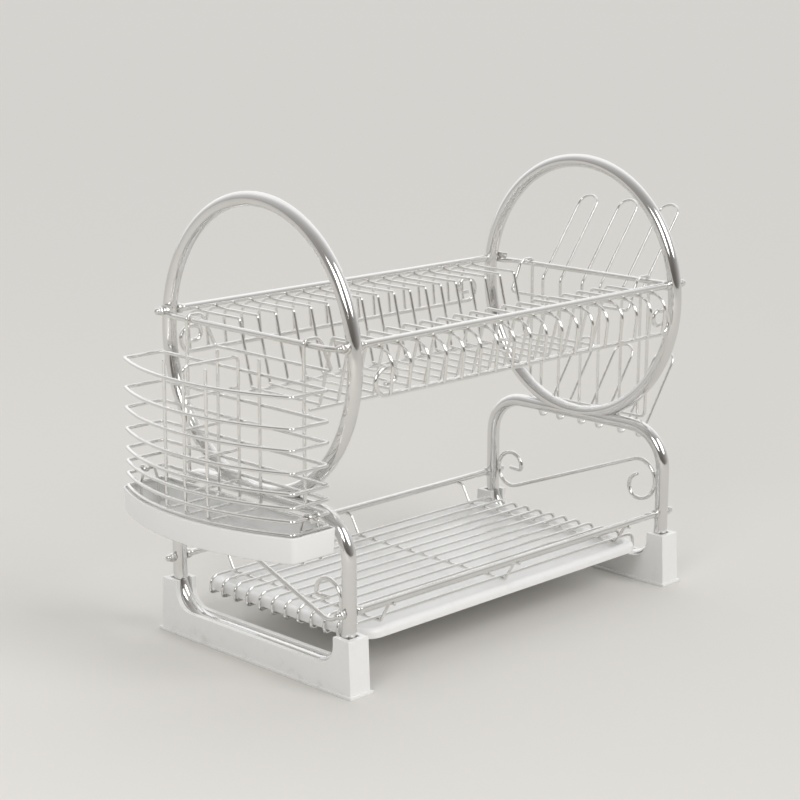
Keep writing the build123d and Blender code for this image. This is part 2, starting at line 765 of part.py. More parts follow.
nodes = {}
for name, shape in build().items():
    solids = shape if isinstance(shape, list) else [shape]
    nodes[name] = Compound([solid for piece in solids for solid in piece.solids()])

# The origin stands on the table under the middle of the whole rack's length
whole = Compound(list(nodes.values())).bounding_box()
shift = -(whole.min.X + whole.max.X) / 2
for name, shape in nodes.items():
    export_step(Pos(X=shift) * shape, f"parts/{name}.step")
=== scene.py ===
import math
import bpy
import bmesh
from mathutils import Matrix, Vector


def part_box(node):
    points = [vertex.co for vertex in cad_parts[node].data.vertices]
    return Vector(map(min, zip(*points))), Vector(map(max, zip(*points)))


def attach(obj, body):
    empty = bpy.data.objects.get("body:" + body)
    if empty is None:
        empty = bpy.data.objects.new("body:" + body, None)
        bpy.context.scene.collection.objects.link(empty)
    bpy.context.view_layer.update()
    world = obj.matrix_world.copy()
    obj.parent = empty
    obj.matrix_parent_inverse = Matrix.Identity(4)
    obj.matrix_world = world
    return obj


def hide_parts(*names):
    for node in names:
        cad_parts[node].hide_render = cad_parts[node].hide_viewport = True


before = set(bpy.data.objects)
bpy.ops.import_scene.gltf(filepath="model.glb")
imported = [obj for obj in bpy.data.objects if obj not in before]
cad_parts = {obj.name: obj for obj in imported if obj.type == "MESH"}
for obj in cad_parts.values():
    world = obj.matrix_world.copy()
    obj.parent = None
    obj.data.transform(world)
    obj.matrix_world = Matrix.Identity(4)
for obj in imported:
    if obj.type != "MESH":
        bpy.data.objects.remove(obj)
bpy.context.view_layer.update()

# Lengths are in millimetres, as a drawing of the rack has them, and unit turns them into metres
unit = 0.001

# End loops and rings, bent from one size of tube
tube_diameter = 12.5
end_plane_x = 205.0
post_y = 107.5
loop_bottom_z = 17.5
loop_top_z = 147.5
loop_corner_radius = 37.5
ring_rise = 1.6
ring_half_width = 114.8
ring_half_height = 121.8

# Plastic feet
foot_width = 22.4
foot_end_margin = 13.1
foot_tower_rise = 31.0
foot_tower_depth = 20.9
foot_tower_lean = 2.2
foot_wall_rise = 5.5
foot_sweep_depth = 18.0
foot_sweep_height = 17.0
foot_flange_overhang = 2.0
foot_flange_height = 2.5
foot_edge_round = 1.0
tube_seat_clearance = 0.3

# Rails along the length and the rods across the ends
upper_rail_inset = 2.8
upper_rail_rise = 16.6
rail_z_lower = 68.2
upper_rail_diameter = 6.4
lower_rail_diameter = 6.0
side_rod_offset = 11.0
side_rod_drop = 2.5
side_rod_diameter = 5.0
side_rod_end_inset = 5.0
side_rod_joggle_inset = 7.5
side_rod_joggle_length = 10.5
side_rod_bend_radius = 6.0
tab_thickness = 2.0
tab_width = 10.0
tab_length = 12.0
tab_edge_round = 0.35

# Nuts and collars
nut_across_flats = 7.0
nut_hex_length = 4.6
nut_dome_diameter = 6.4
nut_dome_neck = 1.4
nut_edge_round = 0.4
collar_length = 5.0
collar_diameter = 9.0
collar_round = 1.6

# Scroll braces in the end loops
brace_diameter = 4.0
brace_centre_z = 86.8
brace_slope = 20.7
brace_curl_radii = (17.2, 13.0, 3.2)
brace_curl_turns = (180.0, 90.0, 92.0)
brace_tip = 11.5
open_curl_radii = (19.4, 11.5, 12.0)
open_curl_turns = (180.0, 90.0, 68.0)
open_curl_tip = 2.5

# Plate rack
plate_wire_diameter = 2.8
plate_wire_count = 18
plate_wire_pitch = 20.6
plate_belly_reach = 14.5
plate_belly_radius = 15.0
plate_shoulder_y = 57.5
plate_shoulder_radius = 3.0
plate_trough_y = 42.3
plate_trough_drop = 62.5
plate_trough_radius = 2.4
scroll_rod_diameter = 4.0
scroll_rod_inset = 5.9
scroll_rod_drop = 41.5
scroll_outer_radius = 11.0
scroll_inner_radius = 6.5
scroll_turn_inset = 27.8
scroll_turn = 180.0
scroll_flat = 5.0
scroll_tip = 6.0
trough_rod_diameter = 3.2
trough_rod_inset = 18.0

# Lower shelf
shelf_wire_diameter = 2.8
shelf_wire_count = 12
shelf_wire_pitch = 16.3
shelf_drop = 19.9
shelf_end_inset = 19.5
shelf_bend_radius = 8.0
shelf_hook_length = 9.0
shelf_hook_radius = 3.0
shelf_hanger_pitch = 155.0
shelf_hanger_count = 3
shelf_hanger_diameter = 2.8
shelf_hanger_overhang = 2.5
shelf_hanger_rise_inset = 4.0
shelf_hanger_bend_inset = 14.5
shelf_hanger_radius = 4.0

# Drip tray under the shelf
drip_end_clearance = 1.4
drip_half_width = 103.0
drip_corner_radius = 20.0
drip_rim_width = 9.0
drip_top_clearance = 0.65
drip_rest_clearance = 0.6
drip_rim_height = 8.0
drip_depth = 10.8
drip_wall = 2.0
drip_taper = 12.0
drip_rim_round = 4.2
drip_basin_round = 1.8

# Cutlery basket
hook_clearance = 0.4
weld_gap = 0.05
hanger_diameter = 3.0
hanger_y = 72.5
hanger_inner_reach = 26.0
hanger_inner_drop = 25.5
hanger_bend_radius = 4.0
hanger_arch_reach = 12.5
hanger_arch_radius = 9.0
basket_loop_diameter = 3.2
basket_loop_drops = (30.3, 55.5, 72.7, 91.0, 107.6, 118.9, 129.9, 140.8)
basket_half_width = 104.0
basket_side_length = 38.5
basket_bow_depth = 25.0
basket_corner_radius = 3.0
basket_wire_diameter = 2.8
basket_upright_y = 26.0
basket_upright_drop = 17.0
basket_divider_drop = 18.5
basket_wire_bend_radius = 5.0
basket_bar_pitch = 26.0
basket_bar_count = 4

# Cutlery tray and its clips
tray_rim_drop = 1.2
tray_depth = 22.0
tray_wall = 1.9
tray_rim_clearance = 1.1
tray_corner_radius = 2.0
tray_taper = 4.0
tray_floor_round = 2.1
tray_rim_round = 0.6
clip_diameter = 2.4
clip_loop_index = 6
clip_offset = 18.0
clip_leg_spacing = 19.0
clip_top_spacing = 9.0
clip_hook_drop = 3.0
clip_bend_radius = 2.0
clip_tip_length = 5.0
clip_tip_gap = 0.9

# Cup rack
cup_wire_diameter = 2.8
cup_loop_count = 3
cup_loop_pitch = 49.8
cup_wire_spacing = 22.4
cup_prong_reach = 58.65
cup_lower_tip_drop = 81.0
cup_lower_slope = 55.3
cup_lower_bend_radius = 5.0
cup_upper_tip_rise = 63.5
cup_upper_slope = 52.6
cup_upper_bend_radius = 12.0
cup_hanger_rise = 33.2014
cup_hanger_corner_radius = 6.0

# How finely the pieces are made
tube_sides = 40
rod_sides = 20
wire_sides = 12
nut_sides = 32
ring_points = 120
bow_points = 40
bend_points = 8
corner_points = 10
edge_points = 3
facet_angle = 8.0
end_round_share = 0.3
long_run_leads = 7.0
sharp_angle = 35.0
merge_distance = 0.01

# The camera, found by fitting the frame's corners to the photograph
camera_place = (-1254.1, -1203.0, 598.1)
camera_yaw = 45.285
camera_pitch = 13.129
camera_roll = 0.2035
focal_length_pixels = 1981.97
photo_pixels = 800
sensor_width = 36.0
camera_reach = 90.0

# Places of the frame's pieces, from the loops up and inwards
tube_radius = tube_diameter / 2
foot_half_length = post_y + foot_end_margin
foot_tower_height = loop_bottom_z + foot_tower_rise
foot_wall_height = loop_bottom_z + foot_wall_rise
ring_centre_z = loop_top_z + ring_half_height + ring_rise
rail_y_upper = ring_half_width - upper_rail_inset
rail_z_upper = ring_centre_z + upper_rail_rise
rail_y_lower = post_y
rail_half_length = end_plane_x - tube_radius - collar_length
side_rod_x = end_plane_x + side_rod_offset
side_rod_z = rail_z_upper - side_rod_drop
tab_x = end_plane_x + tube_radius + weld_gap
plate_flat_z = rail_z_upper - (upper_rail_diameter + plate_wire_diameter) / 2
plate_belly_y = rail_y_upper + plate_belly_reach
plate_trough_z = rail_z_upper - plate_trough_drop
scroll_rod_y = plate_belly_y - scroll_rod_inset
scroll_rod_z = rail_z_upper - scroll_rod_drop
scroll_turn_x = end_plane_x - scroll_turn_inset
plate_foot_y = scroll_rod_y + (scroll_rod_diameter + plate_wire_diameter) / 2
trough_rod_half_length = end_plane_x - trough_rod_inset
trough_rod_z = plate_trough_z - (plate_wire_diameter + trough_rod_diameter) / 2
shelf_z = rail_z_lower - shelf_drop
shelf_end_x = end_plane_x - shelf_end_inset
shelf_hanger_low_z = shelf_z - (shelf_wire_diameter + shelf_hanger_diameter) / 2
shelf_hanger_high_z = rail_z_lower - (lower_rail_diameter + shelf_hanger_diameter) / 2

# Places of the drip tray, which hangs in the hooks of the shelf wires
drip_half_length = shelf_end_x - shelf_wire_diameter / 2 - drip_end_clearance
drip_rim_top_z = shelf_hanger_low_z - shelf_hanger_diameter / 2 - drip_top_clearance
drip_rim_lip_z = drip_rim_top_z - drip_rim_height
shelf_hook_z = drip_rim_lip_z - drip_rest_clearance - shelf_wire_diameter / 2

# Places of the basket, its tray and the cup rack, which hang on the side rods
hook_radius = side_rod_diameter / 2 + hook_clearance + hanger_diameter / 2
hanger_leg_x = side_rod_x + hook_radius
hanger_arch_x = side_rod_x - hanger_arch_reach
hanger_inner_x = side_rod_x - hanger_inner_reach
hanger_inner_z = side_rod_z - hanger_inner_drop
basket_back_x = hanger_leg_x + (hanger_diameter + basket_loop_diameter) / 2
basket_loop_heights = [side_rod_z - drop for drop in basket_loop_drops]
basket_upright_top_z = side_rod_z - basket_upright_drop
basket_divider_top_z = side_rod_z - basket_divider_drop
bow_radius = (basket_bow_depth ** 2 + basket_half_width ** 2) / (2 * basket_bow_depth)
bow_centre_x = basket_back_x + basket_side_length + basket_bow_depth - bow_radius
tray_rim_z = basket_loop_heights[-1] - tray_rim_drop
tray_bottom_z = tray_rim_z - tray_depth
clip_centre_x = basket_back_x + clip_offset
clip_hook_radius = (basket_loop_diameter + clip_diameter) / 2 + hook_clearance
cup_wire_x = hanger_leg_x + (hanger_diameter + cup_wire_diameter) / 2
cup_prong_tip_x = cup_wire_x + cup_prong_reach
cup_lower_tip_z = side_rod_z - cup_lower_tip_drop
cup_upper_tip_z = side_rod_z + cup_upper_tip_rise
cup_lower_corner_z = cup_lower_tip_z - cup_prong_reach * math.tan(math.radians(cup_lower_slope))
cup_upper_corner_z = cup_upper_tip_z - cup_prong_reach * math.tan(math.radians(cup_upper_slope))
cup_hanger_bottom_z = cup_lower_corner_z + cup_hanger_rise

# How far the frame has moved the part along its length, read off the middle of a foot
low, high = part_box("right_foot")
length_shift = (low.x + high.x) / 2 / unit - end_plane_x


# Materials

# Scales of the patterns, the finest of which is the grain of the mouldings
haze_scale = 24
rub_scale = 900
patch_scale = 9
spot_scale = 110
cloud_scale = 14
grain_scale = 1400
scuff_scale = 75
scratch_scale = 420
scratch_stretch = (1.0, 0.12, 1.0)
scratch_turn = (0.0, 0.0, 0.6)
scuff_share_at_top = 0.25
bump_depth = 0.02
bump_strength = 0.35
coat_roughness = 0.12
node_column = 220
node_row = 260


def add_node(tree, kind, **values):
    node = tree.nodes.new(kind)
    for name, value in values.items():
        setattr(node, name, value)
    return node


def feed(tree, node, inputs):
    """Links or sets a node's inputs: each is given another node's socket or a plain value."""
    for label, value in inputs.items():
        if isinstance(value, bpy.types.NodeSocket):
            tree.links.new(value, node.inputs[label])
        else:
            node.inputs[label].default_value = value


def lay_out(tree):
    """Places the nodes in columns, each to the right of all that feed it."""
    columns = dict.fromkeys(tree.nodes.keys(), 0)
    for _ in tree.nodes:
        for link in tree.links:
            before, after = link.from_node.name, link.to_node.name
            columns[after] = max(columns[after], columns[before] + 1)
    rows = dict.fromkeys(columns.values(), 0)
    for name, column in columns.items():
        tree.nodes[name].location = (column * node_column, -rows[column] * node_row)
        rows[column] += 1


def new_group(name, numbers, colors):
    """An empty node group with named inputs, which gives a colour, a roughness and a height."""
    group = bpy.data.node_groups.new(name, "ShaderNodeTree")
    for direction, kind, labels in (
            ("INPUT", "NodeSocketFloat", numbers), ("INPUT", "NodeSocketColor", colors),
            ("OUTPUT", "NodeSocketColor", ["Color"]),
            ("OUTPUT", "NodeSocketFloat", ["Roughness", "Height"])):
        for label in labels:
            group.interface.new_socket(label, in_out=direction, socket_type=kind)
    start = add_node(group, "NodeGroupInput")
    place = add_node(group, "ShaderNodeTexCoord")
    return group, start.outputs, place.outputs["Object"]


def close_group(group, color, rough, height):
    end = add_node(group, "NodeGroupOutput")
    feed(group, end, {"Color": color, "Roughness": rough, "Height": height})
    lay_out(group)
    return group


def add_noise(group, surface, scale, detail, roughness=0.5):
    noise = add_node(group, "ShaderNodeTexNoise")
    feed(group, noise, {"Scale": scale, "Detail": detail, "Roughness": roughness,
                        "Vector": surface})
    return noise.outputs["Fac"]


def add_math(group, operation, *terms):
    node = add_node(group, "ShaderNodeMath", operation=operation)
    for socket, term in zip(node.inputs, terms):
        group.links.new(term, socket)
    return node.outputs[0]


def add_step(group, value, between, gives=(0.0, 1.0)):
    """A soft step from one value to another as the input rises between two levels."""
    step = add_node(group, "ShaderNodeMapRange", interpolation_type="SMOOTHSTEP")
    feed(group, step, {"Value": value, "From Min": between[0], "From Max": between[1],
                       "To Min": gives[0], "To Max": gives[1]})
    return step.outputs["Result"]


def add_blend(group, factor, first, second):
    blend = add_node(group, "ShaderNodeMix", data_type="RGBA")
    for label, socket in (("Factor", factor), ("A", first), ("B", second)):
        group.links.new(socket, blend.inputs[label])
    return blend.outputs["Result"]


def plating_group():
    """Small changes in bright plating: haze, dried water spots, rubbing marks and dull patches."""
    group, given, surface = new_group(
        "plating_detail", ["Base Roughness", "Haze", "Spots", "Dulling"], ["Tint", "Dull Tint"])
    haze = add_noise(group, surface, haze_scale, detail=5)
    rub = add_noise(group, surface, rub_scale, detail=3)
    patches = add_noise(group, surface, patch_scale, detail=6, roughness=0.65)
    spots = add_node(group, "ShaderNodeTexVoronoi")
    feed(group, spots, {"Scale": spot_scale, "Vector": surface})
    distance = spots.outputs["Distance"]
    spot = add_step(group, distance, between=(0.10, 0.15), gives=(1.0, 0.0))
    ring = add_step(group, distance, between=(0.07, 0.11))
    spot_edge = add_math(group, "MULTIPLY", spot, ring)
    rough = add_math(group, "MULTIPLY_ADD", haze, given["Haze"], given["Base Roughness"])
    rough = add_math(group, "MULTIPLY_ADD", spot_edge, given["Spots"], rough)
    dull = add_step(group, patches, between=(0.48, 0.72))
    dull = add_math(group, "MULTIPLY", dull, given["Dulling"])
    color = add_blend(group, dull, given["Tint"], given["Dull Tint"])
    height = add_math(group, "ADD", rub, spot_edge)
    return close_group(group, color, rough, height)


def moulding_group():
    """Moulded plastic: faint grain, cloudy gloss, scratches, and scuffs that gather low down."""
    group, given, surface = new_group(
        "moulding_detail",
        ["Base Roughness", "Cloud", "Grain", "Scuffs", "Scuff Top", "Scuff Bottom"],
        ["Plastic", "Scuff Color"])
    cloud = add_noise(group, surface, cloud_scale, detail=6)
    grain = add_noise(group, surface, grain_scale, detail=2)
    scuffs = add_noise(group, surface, scuff_scale, detail=8, roughness=0.7)
    stretched = add_node(group, "ShaderNodeMapping")
    feed(group, stretched, {"Scale": scratch_stretch, "Rotation": scratch_turn,
                            "Vector": surface})
    scratch = add_noise(group, stretched.outputs["Vector"], scratch_scale, detail=2)
    scratch = add_step(group, scratch, between=(0.68, 0.74))
    scratch = add_math(group, "MULTIPLY", scratch, given["Scuffs"])
    axes = add_node(group, "ShaderNodeSeparateXYZ")
    feed(group, axes, {"Vector": surface})
    lowness = add_step(group, axes.outputs["Z"], gives=(1.0, scuff_share_at_top),
                       between=(given["Scuff Bottom"], given["Scuff Top"]))
    rough = add_math(group, "MULTIPLY_ADD", cloud, given["Cloud"], given["Base Roughness"])
    rough = add_math(group, "ADD", rough, scratch)
    worn = add_step(group, scuffs, between=(0.50, 0.72))
    worn = add_math(group, "MULTIPLY", worn, lowness)
    worn = add_math(group, "MULTIPLY", worn, given["Scuffs"])
    color = add_blend(group, worn, given["Plastic"], given["Scuff Color"])
    height = add_math(group, "MULTIPLY", grain, given["Grain"])
    height = add_math(group, "SUBTRACT", height, scratch)
    return close_group(group, color, rough, height)


def detailed_material(name, group, settings, metallic, coat):
    material = bpy.data.materials.new(name)
    material.use_nodes = True
    tree = material.node_tree
    shader = tree.nodes["Principled BSDF"]
    detail = add_node(tree, "ShaderNodeGroup", node_tree=group)
    feed(tree, detail, settings)
    bump = add_node(tree, "ShaderNodeBump")
    feed(tree, bump, {"Distance": bump_depth * unit, "Strength": bump_strength,
                      "Height": detail.outputs["Height"]})
    feed(tree, shader, {"Base Color": detail.outputs["Color"], "Normal": bump.outputs["Normal"],
                        "Roughness": detail.outputs["Roughness"], "Metallic": metallic,
                        "Coat Weight": coat, "Coat Roughness": coat_roughness})
    lay_out(tree)
    return material


plating = plating_group()
moulding = moulding_group()
tube_chrome = detailed_material(
    "tube_chrome", plating,
    {"Base Roughness": 0.05, "Haze": 0.06, "Spots": 0.16, "Dulling": 0.35,
     "Tint": (0.76, 0.755, 0.745, 1), "Dull Tint": (0.62, 0.61, 0.59, 1)},
    metallic=1, coat=0)
wire_chrome = detailed_material(
    "wire_chrome", plating,
    {"Base Roughness": 0.10, "Haze": 0.08, "Spots": 0.12, "Dulling": 0.5,
     "Tint": (0.80, 0.795, 0.78, 1), "Dull Tint": (0.66, 0.64, 0.61, 1)},
    metallic=1, coat=0)
fastener_chrome = detailed_material(
    "fastener_chrome", plating,
    {"Base Roughness": 0.13, "Haze": 0.12, "Spots": 0.12, "Dulling": 0.6,
     "Tint": (0.74, 0.735, 0.72, 1), "Dull Tint": (0.56, 0.54, 0.51, 1)},
    metallic=1, coat=0)
foot_plastic = detailed_material(
    "foot_plastic", moulding,
    {"Base Roughness": 0.30, "Cloud": 0.16, "Grain": 0.5, "Scuffs": 0.34,
     "Scuff Bottom": 0.0, "Scuff Top": foot_wall_height * unit,
     "Plastic": (0.86, 0.86, 0.85, 1), "Scuff Color": (0.60, 0.575, 0.54, 1)},
    metallic=0, coat=0.25)
tray_plastic = detailed_material(
    "tray_plastic", moulding,
    {"Base Roughness": 0.26, "Cloud": 0.14, "Grain": 0.4, "Scuffs": 0.22,
     "Scuff Bottom": drip_rim_lip_z * unit, "Scuff Top": tray_rim_z * unit,
     "Plastic": (0.87, 0.87, 0.863, 1), "Scuff Color": (0.70, 0.685, 0.66, 1)},
    metallic=0, coat=0.3)


# Wires and tubes

def arc_bend(before, corner, after, radius):
    """Points on the bend that rounds one corner of a wire."""
    back = (before - corner).normalized()
    ahead = (after - corner).normalized()
    half_angle = back.angle(ahead) / 2
    turn = math.pi - 2 * half_angle
    centre = corner + (back + ahead).normalized() * (radius / math.sin(half_angle))
    start = corner + back * (radius / math.tan(half_angle)) - centre
    end = corner + ahead * (radius / math.tan(half_angle)) - centre
    points = []
    for step in range(bend_points + 1):
        share = step / bend_points
        spoke = start * math.sin((1 - share) * turn) + end * math.sin(share * turn)
        points.append(centre + spoke / math.sin(turn))
    return points


def rounded(corners, radii):
    corners = [Vector(corner) for corner in corners]
    chain = [corners[0]]
    for before, corner, after, radius in zip(corners, corners[1:], corners[2:], radii):
        chain += arc_bend(before, corner, after, radius) if radius else [corner]
    chain.append(corners[-1])
    kept = chain[:1]
    for point in chain[1:]:
        if (point - kept[-1]).length > unit:
            kept.append(point)
    return kept


def curled(start, heading, moves):
    """Points of a flat wire that runs straight and curls.

    Each move is a length, or a radius and a turn in degrees.
    """
    x, y = start
    angle = math.radians(heading)
    points = [(x, y)]
    for move in moves:
        if len(move) == 1:
            x += move[0] * math.cos(angle)
            y += move[0] * math.sin(angle)
            points.append((x, y))
            continue
        radius, turn = move
        steps = math.ceil(turn / facet_angle)
        centre = (x - radius * math.sin(angle), y + radius * math.cos(angle))
        for _ in range(steps):
            angle += math.radians(turn / steps)
            x = centre[0] + radius * math.sin(angle)
            y = centre[1] - radius * math.cos(angle)
            points.append((x, y))
    return points


def both_sides(points):
    return list(points) + [(x, -y, z) for x, y, z in reversed(points)]


def stations(path, closed):
    """A place and a set of axes for the round section at each point of a path."""
    leaving = [(after - point).normalized() for point, after in zip(path, path[1:] + path[:1])]
    arriving = leaving[-1:] + leaving[:-1]
    if not closed:
        leaving[-1], arriving[0] = arriving[-1], leaving[0]
    tangents = [(first + second).normalized() for first, second in zip(arriving, leaving)]
    side = tangents[0].orthogonal().normalized()
    places = []
    for point, tangent in zip(path, tangents):
        side = (side - tangent * side.dot(tangent)).normalized()
        turned = Matrix((side, tangent.cross(side), tangent)).transposed().to_4x4()
        places.append(Matrix.Translation(point) @ turned)
    return places


def held_straight(path, closed, lead):
    """Adds a point near each end of every long run, so that its shading stays straight."""
    held = [path[0]]
    for start, end in zip(path, path[1:] + path[:1] if closed else path[1:]):
        run = end - start
        if run.length > long_run_leads * lead:
            held += [start + run.normalized() * lead, end - run.normalized() * lead]
        held.append(end)
    return held[:-1] if closed else held


def picked(geometry, kind):
    return [item for item in geometry if isinstance(item, kind)]


def everything(mesh):
    return mesh.verts[:] + mesh.edges[:] + mesh.faces[:]


def lies_at(element, axis, place):
    """Whether an edge or a face lies level at one place along an axis, in metres."""
    return all(abs(vert.co[axis] - place) < merge_distance * unit for vert in element.verts)


def level_edges(mesh, z):
    """The edges that lie level at one height, given in millimetres."""
    return [edge for edge in mesh.edges if lies_at(edge, 2, z * unit)]


def sharp(edges):
    return [edge for edge in edges if edge.calc_face_angle(0) > math.radians(sharp_angle)]


def extrude_by(mesh, faces, x=0, z=0):
    """Extrudes faces by a length in millimetres and gives what has grown."""
    grown = bmesh.ops.extrude_face_region(mesh, geom=faces)["geom"]
    bmesh.ops.translate(mesh, vec=Vector((x, 0, z)) * unit,
                        verts=picked(grown, bmesh.types.BMVert))
    return grown


def at_metres(x, y, z):
    return Vector((x + length_shift, y, z)) * unit


def add_wire(mesh, points, diameter, sides=wire_sides, closed=False):
    """Draws a round section along a path by extruding its ring of edges from point to point."""
    radius = diameter / 2 * unit
    path = held_straight([at_metres(*point) for point in points], closed, radius)
    places = stations(path, closed)
    made = bmesh.ops.create_circle(
        mesh, cap_ends=False, segments=sides, radius=radius, matrix=places[0])
    ring = list(dict.fromkeys(edge for vert in made["verts"] for edge in vert.link_edges))
    first_ring = ring
    last = places[0]
    for place in places[1:]:
        grown = bmesh.ops.extrude_edge_only(mesh, edges=ring)["geom"]
        verts = picked(grown, bmesh.types.BMVert)
        ring = [edge for edge in picked(grown, bmesh.types.BMEdge)
                if edge.verts[0] in verts and edge.verts[1] in verts]
        bmesh.ops.transform(mesh, matrix=place @ last.inverted(), verts=verts)
        last = place
    if closed:
        bmesh.ops.bridge_loops(mesh, edges=first_ring + ring)
        return
    for rim in (first_ring, ring):
        filled = bmesh.ops.contextual_create(mesh, geom=rim)["faces"]
        round_edges(mesh, filled[0].edges, radius * end_round_share)


def round_edges(mesh, edges, width, segments=edge_points):
    bmesh.ops.bevel(mesh, geom=list(edges), offset=width, segments=segments, profile=0.5,
                    affect="EDGES", material=-1)


def round_corners(mesh, verts, width, segments=corner_points):
    bmesh.ops.bevel(mesh, geom=list(verts), offset=width, segments=segments, profile=0.5,
                    affect="VERTICES", material=-1)


def repeat(mesh, step, count):
    """Copies everything drawn so far along a row, centred on where it stands."""
    whole = everything(mesh)
    shift = Vector(step) * unit
    bmesh.ops.translate(mesh, vec=shift * (-(count - 1) / 2), verts=mesh.verts[:])
    for i in range(1, count):
        copy = bmesh.ops.duplicate(mesh, geom=whole)["geom"]
        bmesh.ops.translate(mesh, vec=shift * i, verts=picked(copy, bmesh.types.BMVert))


def mirror_length(mesh):
    """Turns a piece drawn for the right end into the one for the left end."""
    middle = Matrix.Translation((length_shift * unit, 0, 0))
    flip = middle @ Matrix.Scale(-1, 4, (1, 0, 0)) @ middle.inverted()
    bmesh.ops.transform(mesh, matrix=flip, verts=mesh.verts[:])
    bmesh.ops.reverse_faces(mesh, faces=mesh.faces[:])


def mirror_width(mesh):
    """Adds the back copy of a piece drawn at the front."""
    copy = bmesh.ops.duplicate(mesh, geom=everything(mesh))["geom"]
    flip = Matrix.Scale(-1, 4, (0, 1, 0))
    bmesh.ops.transform(mesh, matrix=flip, verts=picked(copy, bmesh.types.BMVert))
    bmesh.ops.reverse_faces(mesh, faces=picked(copy, bmesh.types.BMFace))


def finish_piece(mesh, name, node, material=wire_chrome, body="frame"):
    bmesh.ops.recalc_face_normals(mesh, faces=mesh.faces[:])
    data = bpy.data.meshes.new(name)
    mesh.to_mesh(data)
    mesh.free()
    data.shade_smooth()
    data.set_sharp_from_angle(angle=math.radians(sharp_angle))
    data.materials.append(material)
    piece = bpy.data.objects.new(name, data)
    bpy.context.scene.collection.objects.link(piece)
    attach(piece, body)
    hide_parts(node)
    return piece


def soften_edges(piece, width):
    softening = piece.modifiers.new("soft_edges", "BEVEL")
    softening.width = width * unit
    softening.segments = edge_points
    softening.limit_method = "ANGLE"
    softening.angle_limit = math.radians(sharp_angle)
    softening.harden_normals = True


# Frame

def end_loop(side, name):
    mesh = bmesh.new()
    x = side * end_plane_x
    corners = [(x, 0, loop_bottom_z)]
    corners += both_sides([(x, -post_y, loop_bottom_z), (x, -post_y, loop_top_z)])
    corners += [(x, 0, loop_bottom_z)]
    chain = rounded(corners, [loop_corner_radius] * 4)
    add_wire(mesh, chain[:-1], tube_diameter, tube_sides, closed=True)
    finish_piece(mesh, name + "_loop_bent_tube", name + "_loop_tube", tube_chrome)


def end_ring(side, name):
    mesh = bmesh.new()
    points = []
    for step in range(ring_points):
        angle = 2 * math.pi * step / ring_points
        points.append((side * end_plane_x, ring_half_width * math.sin(angle),
                       ring_centre_z - ring_half_height * math.cos(angle)))
    add_wire(mesh, points, tube_diameter, tube_sides, closed=True)
    finish_piece(mesh, name + "_ring_bent_tube", name + "_ring_tube", tube_chrome)


def foot_cradle(mesh):
    """The foot's lengthwise section under the tube, cut from a taller U with round corners."""
    room = tube_radius + tube_seat_clearance
    tall_z = loop_bottom_z + loop_corner_radius + 2 * room
    end_y = foot_half_length - foot_tower_lean * tall_z / foot_tower_height
    groove_y = post_y + room
    groove_z = loop_bottom_z - room
    outline = [(-foot_half_length, 0), (foot_half_length, 0), (end_y, tall_z), (groove_y, tall_z),
               (groove_y, groove_z), (-groove_y, groove_z), (-groove_y, tall_z), (-end_y, tall_z)]
    verts = [mesh.verts.new(Vector((0, y, z)) * unit) for y, z in outline]
    mesh.faces.new(verts)
    round_corners(mesh, verts[4:6], (loop_corner_radius + room) * unit)
    bmesh.ops.bisect_plane(mesh, geom=everything(mesh), plane_no=(0, 0, 1), clear_outer=True,
                           plane_co=(0, 0, foot_tower_height * unit))


def foot_side_wall(mesh, groove_x):
    """Fills in the wall beside the tube, from the groove's edge up to the swept top line."""
    top_z = foot_tower_height * unit
    reach_y = (post_y + tube_radius + 2 * tube_seat_clearance) * unit
    inside = [edge for edge in mesh.edges if lies_at(edge, 0, groove_x) and all(
        abs(vert.co.y) < reach_y and vert.co.z > merge_distance * unit for vert in edge.verts)]
    ends = {vert for edge in inside for vert in edge.verts
            if abs(vert.co.z - top_z) < merge_distance * unit}
    front, back = sorted(ends, key=lambda vert: vert.co.y)
    inner_y = (foot_half_length - foot_tower_depth) * unit
    wall_z = foot_wall_height * unit
    outline = [(-inner_y, top_z), (-inner_y, wall_z), (inner_y, wall_z), (inner_y, top_z)]
    verts = [mesh.verts.new((groove_x, y, z)) for y, z in outline]
    chain = [front] + verts + [back]
    edges = [mesh.edges.new(pair) for pair in zip(chain, chain[1:])]
    bmesh.ops.contextual_create(mesh, geom=inside + edges)
    round_corners(mesh, verts[1:3], (foot_sweep_depth + foot_sweep_height) / 2 * unit)


def foot(side, name):
    mesh = bmesh.new()
    foot_cradle(mesh)
    room = tube_radius + tube_seat_clearance
    extrude_by(mesh, mesh.faces[:], x=room)
    foot_side_wall(mesh, room * unit)
    side_faces = [face for face in mesh.faces if lies_at(face, 0, room * unit)]
    extrude_by(mesh, side_faces, x=foot_width / 2 - room)
    centre = [face for face in mesh.faces if lies_at(face, 0, 0.0)]
    bmesh.ops.delete(mesh, geom=centre, context="FACES_ONLY")
    bmesh.ops.mirror(mesh, geom=everything(mesh), axis="X", merge_dist=merge_distance * unit)
    overhang = 2 * foot_flange_overhang
    sole = Matrix.Diagonal((foot_width + overhang, 2 * foot_half_length + overhang,
                            foot_flange_height, 1))
    sole = Matrix.Translation((0, 0, foot_flange_height / 2 * unit)) @ sole
    bmesh.ops.create_cube(mesh, size=unit, matrix=sole)
    bmesh.ops.translate(mesh, vec=at_metres(side * end_plane_x, 0, 0), verts=mesh.verts[:])
    piece = finish_piece(mesh, name + "_moulded", name, foot_plastic)
    soften_edges(piece, foot_edge_round)


